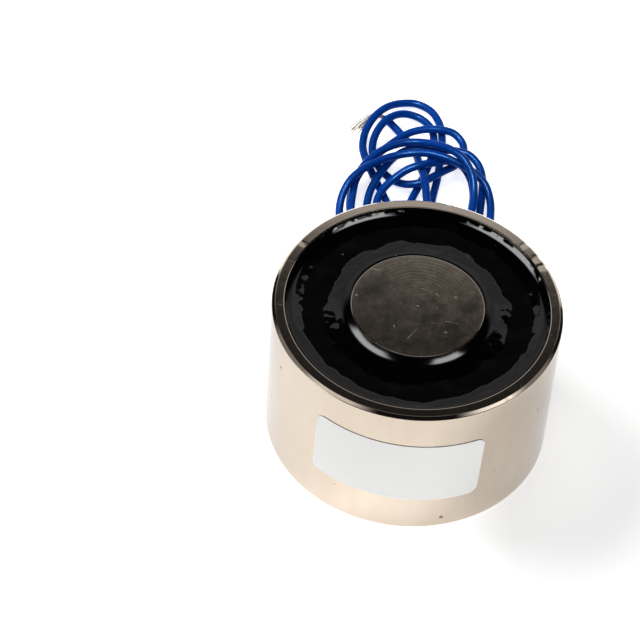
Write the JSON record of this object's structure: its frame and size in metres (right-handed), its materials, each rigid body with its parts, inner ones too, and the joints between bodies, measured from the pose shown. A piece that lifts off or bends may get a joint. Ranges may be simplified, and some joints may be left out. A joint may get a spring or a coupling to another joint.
{
  "type": "holding electromagnet",
  "caption": "Round pot-type holding electromagnet with a flat pole face, a tapped hole in the back and free connecting leads.",
  "frame": {"origin": "centre of the back face, on the surface it stands on", "axes": "+Z along the axis from the back to the pole face, +Y towards the side where the leads come out"},
  "size_m": [0.05, 0.1037, 0.03],
  "materials": {
    "plated_steel": "bright nickel plating, polished, a few marks",
    "casting_resin": "glossy cast surface with a slightly wavy edge",
    "bobbin_plastic": "moulded",
    "copper_wire": "enamelled",
    "tape": "film tape",
    "solder": "dull",
    "sleeving": "matte",
    "grommet_rubber": "matte",
    "label_paper": "smooth white film",
    "lead_insulation": "glossy",
    "tinned_strands": "tinned"
  },
  "bodies": {
    "root": {"magnet_body": "plated_steel", "coil_bobbin": "bobbin_plastic", "coil_winding": "copper_wire", "winding_tape": "tape", "start_tail": "copper_wire", "finish_tail": "copper_wire", "solder_joint_a": "solder", "solder_joint_b": "solder", "splice_sleeve_a": "sleeving", "splice_sleeve_b": "sleeving", "lead_grommet": "grommet_rubber", "potting_resin": "casting_resin", "rating_label": "label_paper", "lead_a": "lead_insulation", "lead_b": "lead_insulation", "lead_a_strands": "tinned_strands", "lead_b_strands": "tinned_strands"}
  },
  "joints": []
}
